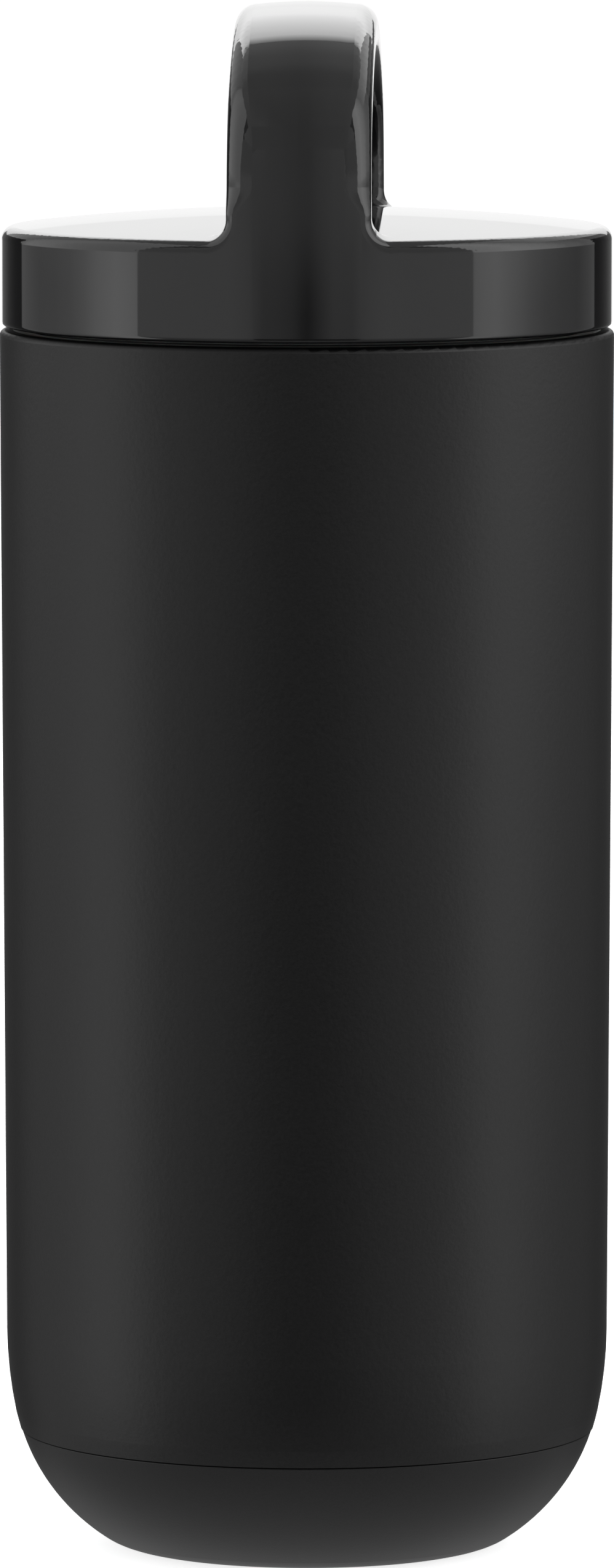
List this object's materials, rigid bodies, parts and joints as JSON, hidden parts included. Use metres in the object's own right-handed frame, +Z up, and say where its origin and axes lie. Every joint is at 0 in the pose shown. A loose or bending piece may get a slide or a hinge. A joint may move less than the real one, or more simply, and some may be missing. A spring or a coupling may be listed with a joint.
{
  "type": "insulated travel tumbler",
  "caption": "Slim double-wall insulated drinking tumbler with a tapered matte body, rounded base cap and a glossy domed screw lid that carries a rigid carrying loop.",
  "frame": {"origin": "centre of the base, on the surface the tumbler stands on", "axes": "+Z up along the tumbler's axis; the carrying loop runs front to back along Y, and -Y is the front"},
  "size_m": [0.0752, 0.0752, 0.1899],
  "materials": {
    "powder_coat": "fine matte powder coat",
    "cup_coat": "matte, soft touch",
    "gloss_lid": "high gloss moulding",
    "plug_plastic": "moulded, fine spark texture",
    "raw_steel": "electropolished inside, satin outside",
    "foil": "bright foil",
    "silicone": "translucent grey silicone",
    "pad_rubber": "soft matte",
    "adhesive": "acrylic foam tape",
    "getter": "sintered",
    "seal_glass": "fused glass bead",
    "foam": "expanded foam"
  },
  "bodies": {
    "vessel": {"outer_shell": "powder_coat", "outer_bottom": "raw_steel", "evacuation_bead": "seal_glass", "getter_clip": "raw_steel", "getter_pellet": "getter", "inner_liner": "raw_steel", "inner_bottom": "raw_steel", "foil_wrap": "foil", "foil_disc": "foil", "base_cup": "cup_coat", "cup_adhesive": "adhesive", "base_pad": "pad_rubber"},
    "seal": {"lid_seal": "silicone"},
    "lid": {"lid_cap": "gloss_lid", "lid_plug": "plug_plastic", "plug_cover": "plug_plastic", "lid_foam": "foam"}
  },
  "joints": [
    {"name": "lid_lift", "type": "slide", "parent": "vessel", "child": "seal", "axis": [0, 0, 1], "range_m": [0, 0.024]},
    {"name": "lid_turn", "type": "hinge", "parent": "seal", "child": "lid", "pos_m": [0, 0, 0.15], "axis": [0, 0, 1], "range_deg": [0, 720]}
  ],
  "couplings": [
    {"joint": "lid_lift", "follows": "lid_turn", "m_per_rad": 0.0019099}
  ]
}
